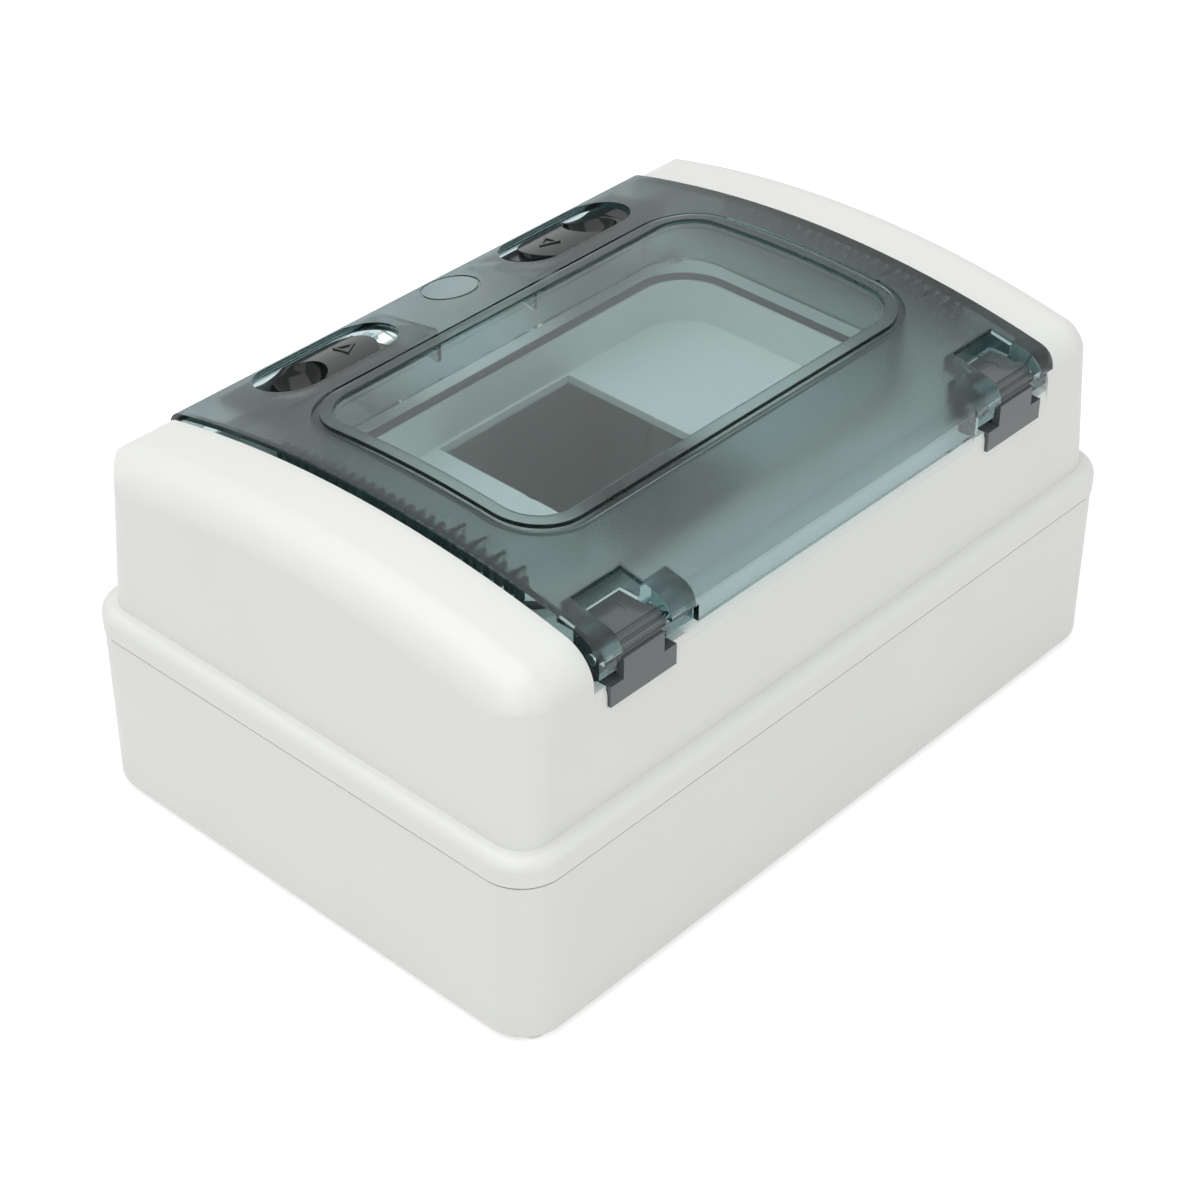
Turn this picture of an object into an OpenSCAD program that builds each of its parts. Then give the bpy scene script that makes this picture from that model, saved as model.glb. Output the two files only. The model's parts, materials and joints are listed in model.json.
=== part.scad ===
// Weatherproof wall enclosure for one short row of rail-mounted modules.
// It lies on its back: X runs along the long side, Y across, Z out through the door.
// The hinge side faces -Y and the latch side faces +Y. The origin is at the bottom centre.

/* [Case] */
// Length over the flange
case_l = 210; // [195:1:270]
// Width over the flange
case_w = 141; // [134:1:180]
// Height of the parting line between base and cover
part_z = 44.7; // [40:0.1:60]
// Corner radius of base and flange in plan
case_r = 11; // [9.5:0.5:14]
// Wall thickness of base and cover
wall = 2.2; // [1.8:0.1:2.8]
// Floor thickness of the base
floor_t = 3; // [2:0.5:4]
// Height of the corner feet
foot_h = 1; // [0.6:0.1:3]
// Radius of the base's bottom edge
base_edge_r = 1.5; // [0.8:0.1:2.5]
// Step from the flange's edge in to the base's wall
base_inset = 0.3; // [0.1:0.1:1]
// Open line between the base and the flange
part_gap = 0.6; // [0.3:0.1:1]

/* [Cover] */
// Height of the flange bead
flange_h = 6.7; // [5:0.1:9]
// Step from the flange's edge in to the cover's wall
flange_step = 3.85; // [3:0.05:6]
// Radius of the flange's top edge
flange_r = 3; // [2:0.5:3.5]
// Height of the end caps' crown above the parting line
crown_h = 53.7; // [50:0.1:64]
// Rise of the arched top across the cover's width
arch_rise = 7.55; // [5:0.01:10]
// Draft of the cover's walls, in millimetres per millimetre of height
cover_draft = 0.026; // [0:0.002:0.04]
// Corner radius of the cover's walls at the flange
cover_r = 7; // [6:0.5:9]
// Rounding between the end faces and the top
end_fillet = 10; // [4:0.5:12]
// Rounding between the hinge side and the top
hinge_fillet = 10; // [4:0.5:12]
// Rounding between the latch side and the top
latch_fillet = 4.5; // [3:0.5:10]
// Length of the bay between the two end caps
bay_l = 157.6; // [150:0.2:180]
// Height of the side walls under the door, above the parting line
sill_h = 36.8; // [30:0.1:40]
// Height of the deck under the door, above the parting line
deck_h = 32.3; // [26:0.1:34]

/* [Module well] */
// Length of the well inside
well_l = 129.6; // [110:0.2:140]
// Width of the well inside
well_w = 74; // [72:0.5:84]
// Corner radius of the well inside
well_r = 13; // [6:0.5:18]
// Height of the well's floor above the parting line
well_floor_h = 22.8; // [18:0.1:26]
// Height of the well's rim above the deck
rim_h = 2; // [1:0.1:3]
// Width of the rubber seal on the well's rim
seal_w = 1.8; // [1.2:0.1:2]
// Height of that seal
seal_h = 1.2; // [0.8:0.1:1.6]
// Modules in the row
module_count = 4; // [2:1:4]
// Width of one module
module_w = 18; // [17.5:0.5:18]
// Height of the modules' noses, across the row
nose_w = 45; // [44:0.5:47]
// Spare length of the module opening
nose_spare = 0.5; // [0.2:0.1:1]

/* [Door] */
// Thickness of the door's shell
door_t = 2; // [1.6:0.1:2.4]
// Gap between the door's ends and the end caps
door_end_gap = 1.3; // [0.6:0.1:2]
// Rise of the door's crown above the end caps
door_rise = 2; // [1:0.1:3]
// Shift of the door's crown towards the hinges
door_shift = 4; // [0:0.5:6]
// Overhang of the door past the hinge-side wall
over_hinge = 1.6; // [0.5:0.1:2]
// Overhang of the door past the latch-side wall
over_latch = 0.4; // [0:0.1:1]
// Height of the door's lower edge above the sills
lip_gap = 3; // [2.4:0.1:4]
// Ribs at each end of the door
rib_count = 4; // [2:1:8]
// Rounding of the door's long edges
door_edge_r = 4.9; // [3:0.1:5]
// Thickness of the collar that closes on the seal
collar_t = 1.8; // [1.4:0.1:2]
// Gap between the collar and the seal
collar_gap = 0.3; // [0.2:0.1:0.5]
// Width of the groove round the window
groove_w = 1.8; // [1:0.1:2.4]
// Depth of that groove
groove_d = 0.5; // [0.3:0.1:0.8]
// Width of the bead inside the groove
bead_w = 3; // [2:0.1:4]
// Height of the bead
bead_h = 0.6; // [0.3:0.1:1]
// Diameter of the thinned disc for a lock
lock_d = 15; // [10:0.5:16]
// Place of the lock disc along the door
lock_x = 2; // [-5:0.5:5]
// Distance of the lock disc and latches from the latch side
latch_in = 12.2; // [10.5:0.1:14]

/* [Latches] */
// Distance of each latch opening from the middle
latch_x = 40.3; // [34:0.1:44]
// Length of a latch opening
slot_l = 40; // [32:0.5:42]
// Width of a latch opening
slot_w = 18; // [14:0.5:18]
// Travel of a latch slider
latch_travel = 6; // [4:0.5:7]
// Clearance round a latch slider
slide_gap = 0.4; // [0.3:0.05:0.6]
// Thickness of the slider's plate
plate_t = 2; // [1.5:0.1:2.5]
// Depth of the slider's finger scoop
scoop_d = 6.6; // [4:0.1:7]
// Depth of the saddle that leads into the scoop
saddle_d = 3; // [1.5:0.1:3.4]
// Width of the slider's bolt along its travel
bolt_w = 5; // [4:0.5:6]
// Thickness of the bolt's toe
toe_t = 1.6; // [1.5:0.1:2.4]

/* [Hinges] */
// Distance of each hinge from the middle
hinge_x = 64.6; // [56:0.1:66]
// Width of the notch in the door at a hinge
notch_w = 15.2; // [12:0.1:18]
// Depth of that notch from the pin
notch_in = 9.5; // [9:0.1:11]
// Distance of the pin from the door's hinge edge
pin_in = 5; // [4.5:0.1:6]
// Height of the pin above the door's lower edge
pin_up = 3; // [2.5:0.1:4]
// Diameter of the hinge pin
pin_d = 3; // [2:0.1:3.4]
// Running clearance of the pin in the hinge block
pin_fit = 0.05; // [0.02:0.01:0.08]
// Radius of the hinge block's barrel
barrel_r = 3.7; // [3:0.1:3.9]
// Radius of the door's knuckles
knuckle_r = 4.5; // [4:0.1:4.7]
// Width of the inner knuckle
knuckle_w = 8.5; // [5:0.5:10]
// Width of the tee plate's foot on the hinge side
tee_w = 20.3; // [17:0.1:22]
// Height of the tee plate's foot
tee_h = 5.3; // [4:0.1:7]
// Width of the tee plate's stem
stem_w = 12.5; // [9:0.1:14]

/* [Fixings] */
// Distance of the cover screws from the middle along X
screw_x = 70.5; // [69:0.5:72]
// Distance of the cover screws from the middle along Y
screw_y = 46; // [44:0.5:50]
// Shank diameter of the cover screws
screw_d = 3.9; // [3:0.1:4]
// Length of the cover screws
screw_l = 50; // [42:1:56]
// Distance between the wall fixing holes along X
fix_x = 184; // [160:1:186]
// Distance between the wall fixing holes along Y
fix_y = 112; // [90:1:114]
// Diameter of the wall fixing holes
fix_d = 5; // [4:0.5:6]

/* [Inside] */
// Depth from the well's underside down to the rail's face
shoulder_h = 45; // [43:0.5:47]
// Width of the rail
rail_w = 35; // [35:1:35]
// Height of the rail
rail_h = 7.5; // [7.5:0.5:7.5]
// Metal thickness of the rail
rail_t = 1; // [0.8:0.1:1.2]
// Length of the rail
rail_l = 100; // [80:1:116]
// Distance between the rail's two posts
rail_pitch = 76; // [60:1:90]
// Distance of the terminal bars from the middle
bar_x = 84; // [80:0.5:86]
// Length of a terminal bar
bar_l = 52; // [40:1:60]
// Terminals on a bar
bar_ways = 7; // [4:1:7]
// Width of a terminal bar
bar_w = 7; // [6:0.5:8]
// Height of a terminal bar
bar_h = 8.5; // [7:0.5:10]

/* [Hidden] */
$fn = 64;
eps = 0.02;

// Heights
flange_z0 = part_z + part_gap / 2;
flange_z1 = part_z + part_gap / 2 + flange_h;
base_top = part_z - part_gap / 2;
crown_z = part_z + crown_h;
sill_z = part_z + sill_h;
deck_z = part_z + deck_h;
well_z = part_z + well_floor_h;
rim_z = deck_z + rim_h;
floor_z = foot_h + floor_t;

// Base
base_l = case_l - 2 * base_inset;
base_w = case_w - 2 * base_inset;
base_r = case_r - base_inset;
rim_w = 6;
rim_depth = 6;
gasket_w = 2.4;
gasket_fit = 0.1;
gasket_in = 2.6;
gasket_depth = 2;

// Cover
tongue_t = 1.5;
tongue_gap = 0.4;
tongue_h = 4;
function cover_half_w(z) = case_w / 2 - flange_step - cover_draft * (z - flange_z1);
function cover_half_l(z) = case_l / 2 - flange_step - cover_draft * (z - flange_z1);
sill_y = cover_half_w(sill_z);
arch_r = (sill_y * sill_y + arch_rise * arch_rise) / (2 * arch_rise);
arch_z = crown_z - arch_r;
function fillet_z(f) = arch_z + sqrt(pow(arch_r - f, 2) - pow(cover_half_w(crown_z - 2 * f) - f, 2));
seam = 0.06;
top_r = cover_r + (hinge_fillet - cover_r) * (crown_h - flange_h) / (fillet_z(hinge_fillet) - flange_z1);
sill_r = 2;

// Door
door_l = bay_l - 2 * door_end_gap;
door_crown = crown_z + door_rise;
door_arch_z = door_crown - arch_r;
door_y0 = -sill_y - over_hinge;
door_y1 = sill_y + over_latch;
door_z0 = sill_z + lip_gap;
pin_y = door_y0 + pin_in;
pin_z = door_z0 + pin_up;
notch_y = pin_y + notch_in;
ear_step = 0.3;
collar_l = well_l + 2 * wall;
collar_w = well_w + 2 * wall;
collar_r = well_r + wall;
collar_z = rim_z + seal_h + collar_gap;
lip_cut_z = pin_z + 1.4;

// Latches
latch_y = door_y1 - latch_in;
function door_top(y) = door_arch_z + sqrt(arch_r * arch_r - (y + door_shift) * (y + door_shift));
latch_z = door_top(latch_y);
latch_tilt = -asin((latch_y + door_shift) / arch_r);
slider_w = slot_w - 2 * slide_gap - 0.6;
slider_l = slot_l - latch_travel - 2 * slide_gap;
guide_l = slot_l + 4;
guide_t = 1.2;
bowl_r = scoop_d + 1;
bowl_t = 1.4;
saddle_r = 15;
plate_top = -door_t - slide_gap - 0.1;
lip_z = plate_top - plate_t - slide_gap;
lip_in = max(slot_w / 2 - 1.8, sqrt(pow(bowl_r + bowl_t, 2) - pow(1 - lip_z, 2)) + slide_gap);
lip_y = latch_y + lip_in * cos(latch_tilt) - (lip_z - guide_t) * sin(latch_tilt);
catch_t = 1.4;
catch_z = sill_z - catch_t;
catch_reach = 3.6;
catch_gap = 0.8;
leg_t = 2;
toe_gap = 0.4;
side_in = sill_y - wall;
leg_y = min(side_in - catch_reach - catch_gap, lip_y - 0.5) - leg_t;

// Hinges
block_gap = 0.3;
block_w = notch_w - 2 * block_gap;
tee_gap = 0.15;
groove_r = 0.4;
tee_z = sill_z - tee_h + 0.2;
plate_z = pin_z + barrel_r;

// Screws
head_d = 7.6;
head_h = 2.6;
washer_t = 0.8;
head_recess = 3;
column_r = 5;
boss_r = 5;
pilot_r = screw_d / 2 - 0.35;

// Inside
rail_top = well_z - wall - shoulder_h;
rail_z = rail_top - rail_h;
bar_z = floor_z + 14;
holder_l = bar_l + 20;
holder_w = 12;
holder_t = 2;

// A rectangle with round corners, in plan
module round_rect(l, w, r) {
    square([l - 2 * r, w], center = true);
    square([l, w - 2 * r], center = true);
    for (sx = [-1, 1], sy = [-1, 1])
        translate([sx * (l / 2 - r), sy * (w / 2 - r)]) circle(r);
}

// A stadium of length l and width w, along X
module stadium(l, w) {
    square([l - w, w], center = true);
    for (s = [-1, 1]) translate([s * (l - w) / 2, 0]) circle(w / 2);
}

// Sweeps a profile round a rectangle with round corners.
// The profile's x is measured outward from the corners' centres, its y is the height.
module swept(l, w, r) {
    for (s = [0, 180]) {
        rotate(s) rotate([90, 0, 0]) linear_extrude(w - 2 * r, center = true)
            translate([l / 2 - r, 0]) children();
        rotate(s + 90) rotate([90, 0, 0]) linear_extrude(l - 2 * r, center = true)
            translate([w / 2 - r, 0]) children();
    }
    for (c = [[1, 1, 0], [-1, 1, 90], [-1, -1, 180], [1, -1, 270]])
        translate([c[0] * (l / 2 - r), c[1] * (w / 2 - r), 0]) rotate(c[2])
            rotate_extrude(angle = 90) children();
}

// Extrudes a profile drawn in Y and Z along X, centred
module along_x(l) {
    rotate([90, 0, 90]) linear_extrude(l, center = true) children();
}

// What lies outside a fillet between an arch and a wall: s is the wall's side,
// yw its place, [yc, zc] the arch's centre, big its radius and r the fillet's
module corner_cut(s, yw, yc, zc, big, r) {
    cy = yw - s * r;
    cz = zc + sqrt(pow(big - r, 2) - pow(cy - yc, 2));
    dir = [cy - yc, cz - zc] / (big - r);
    difference() {
        polygon([[cy, cz], [yw + s * 3, cz], [yw + s * 3, cz + 2 * r + 3], [cy, cz] + dir * (r + 3)]);
        translate([cy, cz]) circle(r);
    }
}

// The cover's outside, or the same form set in by d
module cover_form(d) {
    z0 = flange_z0 + 0.5;
    z1 = crown_z + 1;
    intersection() {
        hull() for (e = [[z0, cover_r], [z1, top_r]])
            translate([0, 0, e[0]]) linear_extrude(eps)
                round_rect(2 * cover_half_l(e[0]) - 2 * d, 2 * cover_half_w(e[0]) - 2 * d, e[1] - d, $fn = 48);
        crown(d);
        along_x(case_l) difference() {
            translate([-case_w / 2, 0]) square([case_w, crown_z + 5]);
            for (f = [[-1, hinge_fillet], [1, latch_fillet]]) {
                rf = max(0.8, f[1] - d);
                corner_cut(f[0], f[0] * (cover_half_w(fillet_z(f[1])) - d + seam), 0, arch_z, arch_r - d, rf);
            }
        }
    }
}

// What lies outside the ball corners between the end faces, the hinge side and the top
module ball_cuts(d) {
    rf = hinge_fillet - d;
    cy = -(cover_half_w(fillet_z(hinge_fillet)) - d + seam) + rf;
    cz = arch_z + sqrt(pow(arch_r - hinge_fillet, 2) - pow(cy, 2));
    cx = cover_half_l(crown_z - end_fillet) - d + seam - rf;
    dir = [cy, cz - arch_z] / (arch_r - hinge_fillet);
    for (s = [-1, 1]) difference() {
        translate([s * (cx + rf / 2 + 1), 0, 0]) along_x(rf + 2)
            polygon([[cy, cz], [cy - rf - 4, cz], [cy - rf - 4, cz + rf + 4], [cy, cz] + dir * (rf + 4)]);
        translate([s * cx, cy, cz]) sphere(r = rf + seam, $fn = 96);
    }
}

// The arched top, spun about the arch's own axis so that its end roundings follow it
module crown(d) {
    half = cover_half_l(crown_z - end_fillet) - d + seam;
    rf = end_fillet - d;
    depth = crown_h + 4;
    sweep = 2 * asin((case_w / 2 + 2) / (arch_r - depth));
    translate([0, 0, arch_z]) rotate([0, -90, 0]) rotate([0, 0, -sweep / 2])
        rotate_extrude(angle = sweep) translate([arch_r - d, 0]) {
            polygon([[-depth, -half - 4], [-rf, -half], [-rf, half], [-depth, half + 4]]);
            translate([-depth, -half + rf]) square([depth, 2 * half - 2 * rf]);
            for (s = [-1, 1]) translate([-rf, s * (half - rf)]) circle(rf);
        }
}

// The space between the end caps above the sills, with the sills' edges rounded
module bay() {
    along_x(bay_l) {
        translate([-case_w / 2, sill_z]) square([case_w, crown_h]);
        for (s = [-1, 1]) difference() {
            translate([s * (sill_y - sill_r + 3), sill_z - sill_r / 2]) square([6, sill_r], center = true);
            translate([s * (sill_y - sill_r), sill_z - sill_r]) circle(sill_r);
            translate([s * (sill_y - sill_r) - (s > 0 ? 4 : 0), sill_z - 4]) square([4, 5]);
        }
    }
}

module deck_recess() {
    translate([-bay_l / 2, -side_in, deck_z]) cube([bay_l, 2 * side_in, crown_h]);
}

module flange() {
    fw = rim_w + tongue_gap + tongue_t + base_inset;
    swept(case_l, case_w, case_r) {
        translate([case_r - fw, flange_z0]) square([fw, flange_h - flange_r]);
        translate([case_r - fw, flange_z0]) square([fw - flange_r, flange_h]);
        translate([case_r - flange_r, flange_z1 - flange_r]) circle(flange_r);
        translate([case_r - fw, flange_z0 - tongue_h]) square([tongue_t, tongue_h + 1]);
    }
}

module at_corners(x, y) {
    for (sx = [-1, 1], sy = [-1, 1]) translate([sx * x, sy * y, 0]) children();
}

module front_cover() color("whitesmoke") {
    difference() {
        union() {
            difference() {
                cover_form(0);
                ball_cuts(0);
                difference() {
                    cover_form(wall);
                    ball_cuts(wall);
                    translate([-bay_l / 2 - wall, -case_w / 2, deck_z - wall])
                        cube([bay_l + 2 * wall, case_w, crown_h]);
                    translate([0, 0, well_z - wall]) linear_extrude(deck_h)
                        round_rect(collar_l, collar_w, collar_r);
                    at_corners(screw_x, screw_y) translate([0, 0, part_z]) cylinder(h = crown_h, r = column_r);
                }
                bay();
                deck_recess();
            }
            flange();
            at_corners(screw_x, screw_y) translate([0, 0, base_top])
                cylinder(h = deck_z - base_top - 1, r = column_r);
            translate([0, 0, deck_z - 1]) linear_extrude(rim_h + 1)
                round_rect(collar_l, collar_w, collar_r);
            latch_catches();
            hinge_posts();
        }
        translate([0, 0, well_z]) linear_extrude(crown_h) round_rect(well_l, well_w, well_r);
        translate([0, 0, well_z - 2 * wall]) linear_extrude(crown_h)
            square([nose_w, module_count * module_w + nose_spare], center = true);
        at_corners(screw_x, screw_y) {
            translate([0, 0, base_top - 1]) cylinder(h = crown_h, r = screw_d / 2 + 0.3);
            translate([0, 0, deck_z - head_recess]) cylinder(h = crown_h, r = head_d / 2 + 0.4);
        }
        for (s = [-1, 1]) translate([s * hinge_x, 0, 0]) hinge_pocket();
    }
}

// Hooks inside the latch-side wall, one beside each slider's bolt
module latch_catches() {
    for (s = [-1, 1]) {
        x0 = s * (latch_x + slot_l / 2 - 8 - bolt_w / 2 - catch_gap);
        translate([s > 0 ? x0 - latch_travel : x0, side_in - catch_reach, catch_z])
            cube([latch_travel, catch_reach + 0.5, catch_t]);
    }
}

// Raised ends of the hinge-side wall next to each hinge
module hinge_posts() {
    for (s = [-1, 1], e = [-1, 1])
        translate([s * hinge_x + e * (tee_w / 2 + tee_gap + 2), -sill_y + 0.3, deck_z - 1])
            linear_extrude(sill_z - deck_z + 1) translate([0, 2]) square([4, 4], center = true);
}

// Where a hinge block's tee plate sits in the hinge-side wall
module hinge_pocket() {
    translate([-tee_w / 2 - tee_gap, -case_w / 2, tee_z - tee_gap])
        cube([tee_w + 2 * tee_gap, case_w / 2 - side_in + 0.4, crown_h]);
}

module well_seal() color("dimgray") {
    translate([0, 0, rim_z]) linear_extrude(seal_h) difference() {
        round_rect(collar_l - (wall - seal_w), collar_w - (wall - seal_w), collar_r - (wall - seal_w) / 2);
        round_rect(collar_l - wall - seal_w, collar_w - wall - seal_w, collar_r - (wall + seal_w) / 2);
    }
}

module cover_gasket() color("black") {
    swept(base_l, base_w, base_r)
        translate([base_r - gasket_in - gasket_w / 2 + gasket_fit / 2, base_top - gasket_depth])
            square([gasket_w - gasket_fit, flange_z0 - base_top + gasket_depth]);
}

module base_housing() color("gainsboro") {
    difference() {
        union() {
            swept(base_l, base_w, base_r) base_section();
            translate([0, 0, foot_h]) linear_extrude(floor_t)
                round_rect(base_l - 2 * wall, base_w - 2 * wall, base_r - wall);
            at_corners(screw_x, screw_y) {
                translate([0, 0, floor_z - 1]) cylinder(h = base_top - floor_z + 1, r = boss_r);
                translate([-0.8, 0, floor_z - 1]) cube([1.6, base_w / 2 - screw_y - 1, base_top - floor_z - 6]);
            }
            at_corners(fix_x / 2, fix_y / 2) translate([0, 0, floor_z - 1]) cylinder(h = 4, r = fix_d / 2 + 3);
            for (s = [-1, 1]) translate([0, s * rail_pitch / 2, floor_z - 1])
                linear_extrude(rail_z - floor_z + 1) round_rect(22, 14, 2);
            at_corners(bar_x, holder_l / 2 - 5) translate([0, 0, floor_z - 1])
                cylinder(h = bar_z - floor_z + 1, r = 4);
            at_corners(case_l / 2 - case_r - 1.5, case_w / 2 - case_r + 5) linear_extrude(foot_h + 1)
                stadium(16, 7);
        }
        at_corners(screw_x, screw_y) translate([0, 0, base_top - 22]) cylinder(h = 30, r = pilot_r);
        at_corners(fix_x / 2, fix_y / 2) translate([0, 0, -1]) cylinder(h = 20, r = fix_d / 2);
        for (s = [-1, 1]) translate([0, s * rail_pitch / 2, floor_z]) cylinder(h = 30, r = 1.6);
        at_corners(bar_x, holder_l / 2 - 5) translate([0, 0, floor_z]) cylinder(h = 30, r = 1.3);
    }
}

// Section of the base's wall: rounded foot edge, plain wall, thick rim with a gasket groove
module base_section() {
    translate([base_r - wall - 1, foot_h]) square([wall + 1 - base_edge_r, floor_t]);
    translate([base_r - base_edge_r, foot_h + base_edge_r]) circle(base_edge_r);
    difference() {
        union() {
            translate([base_r - wall, foot_h + base_edge_r]) square([wall, base_top - foot_h - base_edge_r]);
            translate([base_r - rim_w, base_top - rim_depth]) square([rim_w, rim_depth]);
        }
        translate([base_r - gasket_in - gasket_w / 2, base_top - gasket_depth]) square([gasket_w, rim_depth]);
    }
}

// Outline of the door across its width, set in by d, or the same raised by a negative d
module door_profile(d) {
    r = max(0.8, door_edge_r - d);
    difference() {
        intersection() {
            translate([-door_shift, door_arch_z]) circle(arch_r - d, $fn = 256);
            translate([door_y0 + d, door_z0 - (d > 0 ? 1 : 0)]) square([door_y1 - door_y0 - 2 * d, 40]);
        }
        corner_cut(-1, door_y0 + d, -door_shift, door_arch_z, arch_r - d, r);
        corner_cut(1, door_y1 - d, -door_shift, door_arch_z, arch_r - d, r);
    }
}

// A ring in plan, set in by d from the collar's outside, w wide, standing as tall as the door
module window_ring(d, w) {
    translate([0, 0, collar_z]) linear_extrude(door_crown - collar_z + 2) difference() {
        round_rect(collar_l - 2 * d, collar_w - 2 * d, collar_r - d);
        round_rect(collar_l - 2 * (d + w), collar_w - 2 * (d + w), collar_r - d - w);
    }
}

module at_latch(s) {
    translate([s * latch_x, latch_y, latch_z]) rotate([latch_tilt, 0, 0]) mirror([s < 0 ? 1 : 0, 0, 0]) children();
}

module door() color([0.3, 0.38, 0.4, 0.6]) {
    difference() {
        union() {
            difference() {
                along_x(door_l) door_profile(0);
                along_x(door_l - 2 * door_t) door_profile(door_t);
            }
            intersection() {
                window_ring(0, collar_t);
                along_x(door_l) door_profile(0);
            }
            intersection() {
                window_ring(groove_w, bead_w);
                difference() {
                    along_x(door_l) door_profile(-bead_h);
                    along_x(door_l + 1) door_profile(door_t / 2);
                }
            }
            for (s = [-1, 1]) door_knuckles(s);
            for (s = [-1, 1]) slider_guides(s);
            for (s = [-1, 1]) notch_walls(s);
            for (s = [-1, 1], i = [0:rib_count - 1]) end_rib(s, notch_y + 14 + 6 * i);
            for (s = [-1, 1]) gusset(s * (latch_x - slot_l / 2 - 4), door_y1 - door_t, latch_y - 12, 12);
        }
        difference() {
            window_ring(0, groove_w);
            along_x(door_l + 2) door_profile(groove_d);
        }
        for (s = [-1, 1]) {
            translate([s * hinge_x - notch_w / 2, door_y0 - 1, door_z0 - 8]) cube([notch_w, notch_y - door_y0 + 1, 30]);
            for (x = [[notch_w / 2 - 1, knuckle_w + 1], [-notch_w / 2 - 12, 12]])
                translate([s > 0 ? hinge_x - x[0] - x[1] : -hinge_x + x[0], door_y0 - 1, door_z0 - 1])
                    cube([x[1], door_t + 0.5, lip_cut_z - door_z0 + 1]);
            translate([s * (hinge_x + notch_w / 2 + 3.3), pin_y, pin_z]) rotate([0, -s * 90, 0])
                cylinder(h = notch_w + knuckle_w + 1.3, r = pin_d / 2 + pin_fit / 2);
            translate([s * latch_x, latch_y, latch_z - door_t - 3]) linear_extrude(8) stadium(slot_l, slot_w);
        }
        translate([lock_x, latch_y + 2, latch_z]) rotate([latch_tilt, 0, 0]) difference() {
            translate([0, 0, -0.9]) cylinder(h = 4, r = lock_d / 2);
            translate([0, 0, -2]) cylinder(h = 4, r = lock_d / 2 - 0.7);
        }
    }
}

// A small rib between the shell and its end skirt
module end_rib(s, y) {
    x = s * (door_l / 2 - door_t + 0.2);
    intersection() {
        translate([0, y, 0]) rotate([90, 0, 0]) linear_extrude(1)
            polygon([[x, door_z0 + 3], [x - s * 6, crown_z + 1], [x, crown_z + 1]]);
        along_x(door_l) door_profile(0.4);
    }
}

// The walls that close the notch for one hinge
module notch_walls(s) {
    intersection() {
        translate([s * hinge_x - notch_w / 2 - 1.4, pin_y + 2, plate_z - 0.5])
            cube([notch_w + 2.8, notch_in - 0.6, 12]);
        along_x(door_l) door_profile(0.4);
    }
}

// The ears that the pin passes through, on both sides of the notch for one hinge
module door_knuckles(s) {
    inner = [notch_w / 2, knuckle_w];
    outer = [-(door_l / 2 - ear_step - hinge_x), door_l / 2 - ear_step - hinge_x - notch_w / 2];
    intersection() {
        for (e = [inner, outer])
            translate([s > 0 ? hinge_x - e[0] - e[1] / 2 : -hinge_x + e[0] + e[1] / 2, 0, 0]) along_x(e[1]) {
                translate([pin_y, pin_z]) circle(knuckle_r);
                translate([pin_y - knuckle_r, pin_z]) square([2 * knuckle_r, 12]);
            }
        along_x(door_l) {
            door_profile(0.4);
            translate([pin_y, pin_z]) circle(knuckle_r);
        }
    }
}

// Lips under the door that carry one slider's plate
module slider_guides(s) {
    at_latch(s) {
        translate([-guide_l / 2, -slot_w / 2 - 3.4, lip_z - guide_t]) {
            cube([guide_l, guide_t, -lip_z + 0.2]);
            cube([guide_l, 3.4, guide_t]);
        }
        translate([-guide_l / 2, lip_in, lip_z - guide_t]) cube([guide_l, latch_in - lip_in, guide_t]);
    }
}

// A three-cornered rib under the shell, across the door, with its foot at [y0, y1]
module gusset(x, y0, y1, drop) {
    translate([x, 0, 0]) intersection() {
        along_x(1.2) polygon([[y0, deck_z + drop], [y1, door_z0 + 2], [y1, crown_z + 1], [y0, crown_z + 1]]);
        along_x(1.2) door_profile(0.4);
    }
}

// A slider with a finger pad towards the door's middle and a scoop at its outer end
module latch_slider(s) color("dimgray") {
    shift = slot_l / 2 - slide_gap - slider_l / 2;
    bolt_x = slot_l / 2 - 8;
    bowl_x = shift + slider_l / 4 - 1.8;
    leg_x = s * (latch_x + bolt_x);
    toe_z = catch_z - toe_gap - toe_t;
    difference() {
        union() {
            at_latch(s) intersection() {
                translate([shift, 0, plate_top - plate_t]) linear_extrude(scoop_d) stadium(slider_l, slider_w);
                rotate([0, 90, 0]) translate([30 + 0.5, 0, -30]) cylinder(h = 60, r = 30, $fn = 128);
            }
            at_latch(s) intersection() {
                translate([bowl_x, 0, 1]) sphere(r = bowl_r + bowl_t);
                translate([bowl_x - 20, -20, -20]) cube([40, 40, 20 + plate_top - 1]);
            }
            at_latch(s) translate([-slot_l / 2 + latch_travel - 1, -slot_w / 2 - 1.8, plate_top - plate_t])
                cube([slot_l + 1, slot_w / 2 + 1.8 + lip_in + 1, plate_t]);
            at_latch(s) translate([-6, 0, plate_top]) rotate(180) linear_extrude(-plate_top - 0.2) difference() {
                circle(3.2, $fn = 3);
                circle(2, $fn = 3);
            }
            translate([leg_x - bolt_w / 2, leg_y, toe_z]) {
                cube([bolt_w, leg_t, latch_z - toe_z - 5]);
                cube([bolt_w, side_in - 1 - leg_y, toe_t]);
            }
        }
        at_latch(s) {
            translate([bowl_x, 0, 1]) sphere(r = bowl_r);
            translate([bowl_x + 3.5, 0, saddle_r - saddle_d]) rotate([90, 0, 0])
                cylinder(h = 40, r = saddle_r, center = true, $fn = 96);
        }
    }
}

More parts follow.
